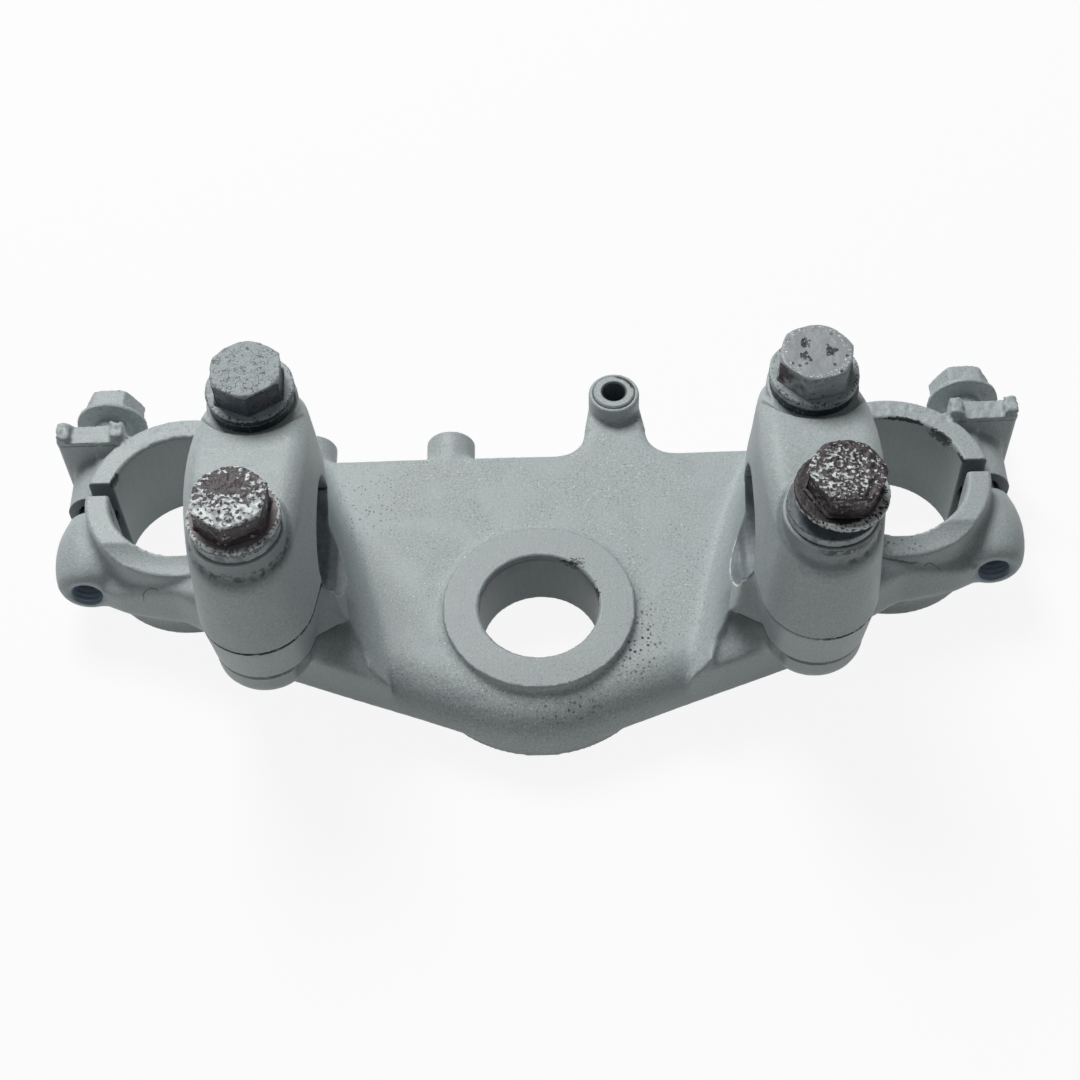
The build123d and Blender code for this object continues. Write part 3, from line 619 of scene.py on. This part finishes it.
def make_floor():
    """Wide floor just under the part's lowest faces."""
    gap, half = 0.0001, 3.0
    level = cad_box[0][2] - gap
    mesh = bpy.data.meshes.new("floor")
    corners = [(-half, -half, level), (half, -half, level), (half, half, level), (-half, half, level)]
    mesh.from_pydata(corners, [], [(0, 1, 2, 3)])
    floor = bpy.data.objects.new("floor", mesh)
    bpy.context.collection.objects.link(floor)
    mesh.materials.append(floor_finish())


def make_world(strength):
    """Even pale light from all round, which the camera sees as white."""
    world = bpy.data.worlds.new("studio")
    bpy.context.scene.world = world
    world.use_nodes = True
    tree = world.node_tree
    tree.nodes.clear()
    path = tree.nodes.new("ShaderNodeLightPath")
    output = tree.nodes.new("ShaderNodeOutputWorld")
    mix = tree.nodes.new("ShaderNodeMixShader")
    light = tree.nodes.new("ShaderNodeBackground")
    light.inputs["Color"].default_value = (0.94, 0.97, 1.0, 1.0)
    light.inputs["Strength"].default_value = strength
    shown = tree.nodes.new("ShaderNodeBackground")
    shown.inputs["Strength"].default_value = 1.0
    tree.links.new(path.outputs["Is Camera Ray"], mix.inputs[0])
    tree.links.new(light.outputs[0], mix.inputs[1])
    tree.links.new(shown.outputs[0], mix.inputs[2])
    tree.links.new(mix.outputs[0], output.inputs["Surface"])


def add_lamp(name, place, size, power):
    """Soft square lamp that faces the part's origin."""
    lamp = bpy.data.lights.new(name, "AREA")
    lamp.shape = "SQUARE"
    lamp.size = size
    lamp.energy = power
    holder = bpy.data.objects.new(name, lamp)
    holder.location = place
    holder.rotation_euler = (-Vector(place)).to_track_quat("-Z", "Y").to_euler()
    bpy.context.collection.objects.link(holder)


def make_camera():
    """Camera at the photograph's place, from a fit to the part's round and straight edges."""
    focal_px, image_px, centre_drop_px = 1858.05, 1080.0, 20.0
    elevation, azimuth, roll = (math.radians(v) for v in (55.01, 1.32, -2.65))
    distance, target = 0.38536, Vector((0.00037, 0.01115, 0.0))
    flat = math.cos(elevation)
    back = Vector((math.sin(azimuth) * flat, -math.cos(azimuth) * flat, math.sin(elevation)))
    level = Vector((0, 0, 1)).cross(back).normalized()
    rise = back.cross(level)
    right = level * math.cos(roll) + rise * math.sin(roll)
    up = rise * math.cos(roll) - level * math.sin(roll)
    lens = bpy.data.cameras.new("camera")
    lens.sensor_width = 36.0
    lens.lens = focal_px / image_px * lens.sensor_width
    lens.shift_y = centre_drop_px / image_px
    lens.clip_start = 0.01
    camera = bpy.data.objects.new("camera", lens)
    turn = Matrix((right, up, back)).transposed().to_4x4()
    camera.matrix_world = Matrix.Translation(target + back * distance) @ turn
    bpy.context.collection.objects.link(camera)
    bpy.context.scene.camera = camera


def repaint(node, material):
    """Gives a CAD node its finish."""
    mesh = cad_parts[node].data
    mesh.materials.clear()
    mesh.materials.append(material)


def step(value, low, high):
    """Smooth step of an array: 0 below low and 1 above high, or the reverse where low is larger."""
    share = np.clip((value - low) / (high - low), 0.0, 1.0)
    return share * share * (3.0 - 2.0 * share)


def lumps(points, size, seed, octaves=1):
    """Soft random values from about -1 to 1 at points in millimetres."""
    shifted = points / size + seed * 7.31
    if octaves == 1:
        values = [noise.noise(p) for p in shifted.tolist()]
    else:
        values = [noise.fractal(p, 0.7, 2.1, octaves) for p in shifted.tolist()]
    return np.array(values)


def merged_copy(node):
    """A node's mesh as a new mesh whose loose triangles share their corners."""
    shell = bmesh.new()
    shell.from_mesh(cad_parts[node].data)
    bmesh.ops.remove_doubles(shell, verts=shell.verts, dist=1e-7)
    mesh = bpy.data.meshes.new(node + "_skin")
    shell.to_mesh(mesh)
    shell.free()
    return mesh


def modified(piece, kind, settings):
    """Applies one modifier to a piece."""
    modifier = piece.modifiers.new(kind.lower(), kind)
    for name, value in settings.items():
        setattr(modifier, name, value)
    graph = bpy.context.evaluated_depsgraph_get()
    mesh = bpy.data.meshes.new_from_object(piece.evaluated_get(graph))
    piece.modifiers.clear()
    piece.data = mesh


def read_points(mesh):
    """A mesh's points in millimetres."""
    points = np.empty(len(mesh.vertices) * 3)
    mesh.vertices.foreach_get("co", points)
    return points.reshape(-1, 3) / MM


def read_normals(mesh):
    """The normals at a mesh's points."""
    normals = np.empty(len(mesh.vertices) * 3)
    mesh.vertices.foreach_get("normal", normals)
    return normals.reshape(-1, 3)


def write_points(mesh, points):
    """Moves a mesh's points to places in millimetres."""
    mesh.vertices.foreach_set("co", (points * MM).ravel())
    mesh.update()


def soften(mesh, points, share, rounds):
    """Rounds off a mesh by moving each point part of the way to its neighbours' middle."""
    edges = np.empty(len(mesh.edges) * 2, dtype=np.int64)
    mesh.edges.foreach_get("vertices", edges)
    first, second = edges.reshape(-1, 2).T
    count = len(points)
    weight = np.bincount(first, minlength=count) + np.bincount(second, minlength=count)
    for _ in range(rounds):
        middle = np.empty_like(points)
        for axis in range(3):
            values = points[:, axis]
            near = np.bincount(first, values[second], count) + np.bincount(second, values[first], count)
            middle[:, axis] = near / weight
        points = points + (middle - points) * (share * 0.5)[:, None]
    return points


def skin(node, material, relief, sharp=None, voxel=0.22, rounds=2, budget=16000, flat_faces=False):
    """A cast or corroded skin in place of a CAD node, inside the part's box.

    Its points are voxel millimetres apart. They are softened in rounds except where sharp() is 1,
    raised by relief() and thinned to the budget of triangles. With flat_faces, large faces shade as
    flat ones.
    """
    piece = bpy.data.objects.new(node + "_skin", merged_copy(node))
    bpy.context.collection.objects.link(piece)
    modified(piece, "REMESH", {"mode": "VOXEL", "voxel_size": voxel * MM})
    points = read_points(piece.data)
    everywhere = np.ones(len(points))
    points = soften(piece.data, points, everywhere * 0.6, 1)
    points = soften(piece.data, points, 1.0 - sharp(points) if sharp else everywhere, rounds)
    write_points(piece.data, points)
    normals = read_normals(piece.data)
    points = points + normals * relief(points, normals)[:, None]
    low, high = (np.array(corner) / MM for corner in cad_box)
    write_points(piece.data, np.clip(points, low, high))
    faces = 2 * len(piece.data.polygons)
    if faces > budget:
        modified(piece, "DECIMATE", {"ratio": budget / faces})
    write_points(piece.data, np.clip(read_points(piece.data), low, high))
    piece.data.polygons.foreach_set("use_smooth", [True] * len(piece.data.polygons))
    if flat_faces:
        modified(piece, "WEIGHTED_NORMAL", {"mode": "FACE_AREA", "weight": 50})
    piece.data.materials.clear()
    piece.data.materials.append(material)
    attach(piece, "root")
    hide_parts(node)
    return piece


def machined(points):
    """1 on the casting's machined faces, bores and thin details, 0 on its as-cast faces."""
    x, y, z = points.T
    x = np.abs(x)
    from_stem = np.hypot(x, y)
    from_fork = np.hypot(x - FORK_X, y - FORK_Y)
    from_bar = np.hypot(y - BAR_Y, z - BAR_Z)
    from_bush = np.hypot(points[:, 0] - LUG_X, y - LUG_Y)
    from_pinch = np.hypot(x - PINCH_X, z - PINCH_Z)
    along_bar = np.abs(x - CLAMP_X)
    on_ring = step(from_fork, RING_RADIUS + 1.8, RING_RADIUS + 1.0)
    by_slot = step(from_fork, 13.0, 15.0) * step(x, 80.0, 84.0)
    parts = [
        step(from_stem, STEM_RADIUS + 1.6, STEM_RADIUS + 0.6),
        step(z, -1.7, -1.2) * step(from_stem, STEM_BOSS_RADIUS + 1.2, STEM_BOSS_RADIUS + 0.8),
        step(z, STEM_BOSS_FOOT + 0.9, STEM_BOSS_FOOT + 0.3),
        step(from_fork, FORK_RADIUS + 1.8, FORK_RADIUS + 0.7) * step(z, BAR_Z, BAR_Z - 2),
        step(z, RING_TOP - 2.8, RING_TOP - 1.6) * on_ring,
        step(z, RING_FOOT + 1.5, RING_FOOT + 0.9),
        step(z, BAR_Z - 0.9, BAR_Z - 0.4) * step(along_bar, 15.5, 14.0),
        step(from_bar, BAR_RADIUS + 2.4, BAR_RADIUS + 1.5) * step(along_bar, 24.0, 20.0),
        step(np.abs(y - SLOT_Y), SLOT_HALF + 1.0, SLOT_HALF + 0.4) * by_slot,
        step(from_bush, BUSH_RADIUS + 1.2, BUSH_RADIUS + 0.5),
        step(from_pinch, 5.6, 4.8) * step(x, 88.0, 89.0),
        step(y, EAR_REAR - 0.8, EAR_REAR - 0.2) * step(x, 86.0, 87.5),
        step(y, SCREW_BOSS_TIP - 0.9, SCREW_BOSS_TIP - 0.4),
    ]
    return np.clip(np.max(parts, axis=0), 0.0, 1.0)


def step_edge(points):
    """1 along the ledge round the back of each column, where the drafted wall stands proud."""
    x, y, z = points.T
    ledge = step(np.abs(z - RING_TOP), 1.5, 0.7) * step(np.abs(np.abs(x) - CLAMP_X), 15.0, 13.5)
    return ledge * step(y, 6.0, 3.0)


def crisp_parts(points):
    """1 where the casting keeps its edges: machined places, the ledges and the hollows' brows."""
    x, y, z = points.T
    x = np.abs(x)
    brow = step(x, 34.0, 37.0) * step(x, 50.0, 47.0) * step(y, 3.0, 0.0)
    brow = brow * step(z, 3.5, 4.6) * step(z, 8.5, 6.5)
    return np.max([machined(points), step_edge(points), brow * 0.95], axis=0)


def flank_hollows(points, normals):
    """1 where the rear of each flank is hollowed under its ledge, and 0 elsewhere."""
    x, y, z = points.T
    x = np.abs(x)
    across = step(x, 31.5, 37.5) * step(x, 49.0, 46.5)
    below = step(z, RING_TOP + 0.1, RING_TOP - 0.5) * step(z, -2.5, 2.5)
    return across * below * step(y, 3.0, 0.0) * step(normals[:, 1], -0.2, -0.6)


def thread_turns(points):
    """Thread-like waves from about -1 to 1 in the empty pinch holes, and 0 elsewhere."""
    x, y, z = points.T
    x = np.abs(x)
    across, up = x - PINCH_X, z - PINCH_Z
    turns = np.sin(2 * math.pi * y / PINCH_PITCH + np.arctan2(up, across))
    in_hole = step(np.hypot(across, up), 4.2, 3.8) * step(x, 88.0, 90.0)
    return turns * in_hole * step(y, SLOT_Y - 2.0, SLOT_Y - 3.0)


def cast_relief(points, normals):
    """Height of the sand-cast skin: the pattern's waves, the sand's grain, hollows, turns and torn ears."""
    free = 1.0 - machined(points)
    waves = lumps(points, 9.0, 3.0) * 0.10
    grain = lumps(points, 1.5, 5.0, 2) * 0.035
    ear = step(points[:, 2], RING_TOP - 0.4, RING_TOP + 0.4)
    ear = ear * step(points[:, 1], EAR_REAR - 2.0, EAR_REAR - 1.0)
    torn = lumps(points, 1.3, 19.0, 2) * 0.45 * ear
    cast = (waves + grain) * free - 0.02 - FLANK_HOLLOW * flank_hollows(points, normals)
    return cast + PINCH_TURN * thread_turns(points) + torn


def cap_sharp(points):
    """1 on a cap's bolt seats, parting face and bore, 0 on its as-cast arch."""
    x, y, z = points.T
    along = y - BAR_Y
    from_bar = np.hypot(along, z - BAR_Z)
    from_rear = np.hypot(np.abs(x) - CLAMP_X, along + BOLT_PITCH / 2)
    from_front = np.hypot(np.abs(x) - CLAMP_X, along - BOLT_PITCH / 2)
    on_rear = step(from_rear, SPOTFACE_RADIUS + 0.7, SPOTFACE_RADIUS + 0.3)
    on_front = step(from_front, SPOTFACE_RADIUS + 0.7, SPOTFACE_RADIUS + 0.3)
    parts = [
        step(z, BAR_Z + 0.9, BAR_Z + 0.4),
        step(from_bar, BAR_RADIUS + 2.2, BAR_RADIUS + 1.3),
        on_rear * step(z, REAR_SEAT - 4.6, REAR_SEAT - 4.0),
        on_front * step(z, FRONT_SEAT - 4.6, FRONT_SEAT - 4.0),
    ]
    return np.clip(np.max(parts, axis=0), 0.0, 1.0)


def cap_relief(points, normals):
    """Height of a cap's skin: the pattern's waves and the sand's grain."""
    free = 1.0 - cap_sharp(points)
    return (lumps(points, 8.0, 11.0) * 0.10 + lumps(points, 1.4, 13.0, 2) * 0.03) * free - 0.02


def head_relief(middle, bottom, ridge, shrink, rough):
    """Relief of a corroded bolt: its head is blistered by the share rough, and shrunk at its flanks."""
    def relief(points, normals):
        """Height of the bolt's skin."""
        head = step(points[:, 2], bottom - 0.2, bottom + 0.3)
        blister = np.abs(lumps(points, 1.6, ridge)) * -0.34 + lumps(points, 0.75, ridge + 2.0, 2) * 0.10
        worn = lumps(points, 3.0, ridge + 5.0) * 0.12
        across = np.hypot(points[:, 0] - middle[0], points[:, 1] - middle[1])
        corner = step(across, HEAD_RADIUS - 0.5, HEAD_RADIUS + 1.0) * 0.40
        flank = shrink * (1.0 - np.abs(normals[:, 2]))
        return (blister * rough + worn - corner - flank) * head - 0.05
    return relief


def lean_right(piece, shift):
    """Leans a loose piece, and shifts its upper part, to the rider's right."""
    points = read_points(piece.data)
    above = np.maximum(points[:, 2] - LEAN_FOOT, 0.0)
    rising = step(above, 0.0, 8.0)
    points[:, 0] += above * LEAN_SLOPE + rising * shift
    points[:, 2] -= (points[:, 0] - CLAMP_X) * LEAN_SLOPE * rising
    write_points(piece.data, np.minimum(points, np.array(cad_box[1]) / MM))


def washer_relief(points, normals):
    """Height of the lightly corroded skin of a washer or a pinch bolt."""
    return lumps(points, 1.2, 21.0, 2) * 0.10 + lumps(points, 4.0, 27.0) * 0.06 - 0.05


def head_finish(side, end, middle, top):
    """The finish of one cap bolt."""
    if end == "front":
        return painted_head_finish(top) if side == "left" else satin_head_finish(middle, top)
    if side == "left":
        bare = (-0.8, 2.6)
        return rusty_head_finish(
            "flaking_bolt", middle, top, patch=bare, cover=0.46, near_share=0.22, rim_share=0.06, size=0.80)
    off_head = (9.0, 9.0)
    return rusty_head_finish(
        "rusty_bolt", middle, top, patch=off_head, cover=0.47, near_share=0.06, rim_share=-0.16, size=0.70)


yoke_paint = casting_finish()
skin("yoke_casting", yoke_paint, cast_relief, crisp_parts,
     voxel=0.42, rounds=30, budget=190000, flat_faces=True)
cap_paint = cap_finish()
for side in ("left", "right"):
    skin("bar_cap_" + side, cap_paint, cap_relief, cap_sharp,
         voxel=0.32, rounds=26, budget=110000, flat_faces=True)

# Each bolt's flat washer and spring washer: top colour, side colour, flakes on the rim and on the side
# Painted shade: the steel-blue sides of the left front washers, the dark right front spring washer and the
# dark top of the right rear spring washer.
washer_looks = {
    ("left", "rear"): ((RUST_PALE, BORE_DARK, 0.66, 0.24), (PAINT, PAINT, 0.0, 0.05)),
    ("left", "front"): ((PAINT, STEEL_BLUE, 0.10, 0.24), (PAINT, STEEL_BLUE, 0.0, 0.22)),
    ("right", "rear"): ((RUST_DARK, RUST_DARK, 0.70, 0.60), (BORE_DARK, PAINT, 0.0, 0.10)),
    ("right", "front"): ((PAINT, PAINT, 0.30, 0.10), (PAINT_DARK, STEEL_BLUE, 0.0, 0.15)),
}
for number, ((side, end), looks) in enumerate(washer_looks.items()):
    tail = side + "_" + end
    rear, loose = end == "rear", tail == "right_rear"
    middle = (CLAMP_X if side == "right" else -CLAMP_X, BAR_Y + (-BOLT_PITCH if rear else BOLT_PITCH) / 2)
    seat = REAR_SEAT if rear else FRONT_SEAT
    level = seat + (LOOSE_LIFT if loose else 0.0) + STACK_HEIGHT

    finish = head_finish(side, end, middle, level + HEAD_HEIGHT)
    rough = 1.0 if rear else (0.6 if side == "left" else 0.2)
    relief = head_relief(middle, level, 31.0 + 3 * number, 0.65 if loose else 0.28, rough)
    bolt = skin("cap_bolt_" + tail, finish, relief, rounds=3, budget=60000)

    flat = washer_finish("flat_washer_" + tail, middle, level, looks[0], 3.0 + number)
    washer = skin("flat_washer_" + tail, flat, washer_relief)
    if loose:
        lean_right(bolt, shift=0.5)
        lean_right(washer, shift=0.2)
    spring = washer_finish("spring_washer_" + tail, middle, seat + SPRING_HEIGHT, looks[1], 9.0 + number)
    skin("spring_washer_" + tail, spring, washer_relief)

pinch_paint = coat_finish("pinch_bolt_paint", 0.08, 5.0)
for side in ("left", "right"):
    skin("pinch_bolt_" + side, pinch_paint, washer_relief, voxel=0.3, budget=40000)
repaint("lug_bush", bush_finish())

make_floor()
make_world(strength=0.150)
add_lamp("overhead", (-0.30, 0.70, 1.0), size=0.55, power=14.0)
add_lamp("fill", (-0.9, -0.7, 0.8), size=0.9, power=0.35)
make_camera()
bpy.context.scene.view_settings.view_transform = "Standard"
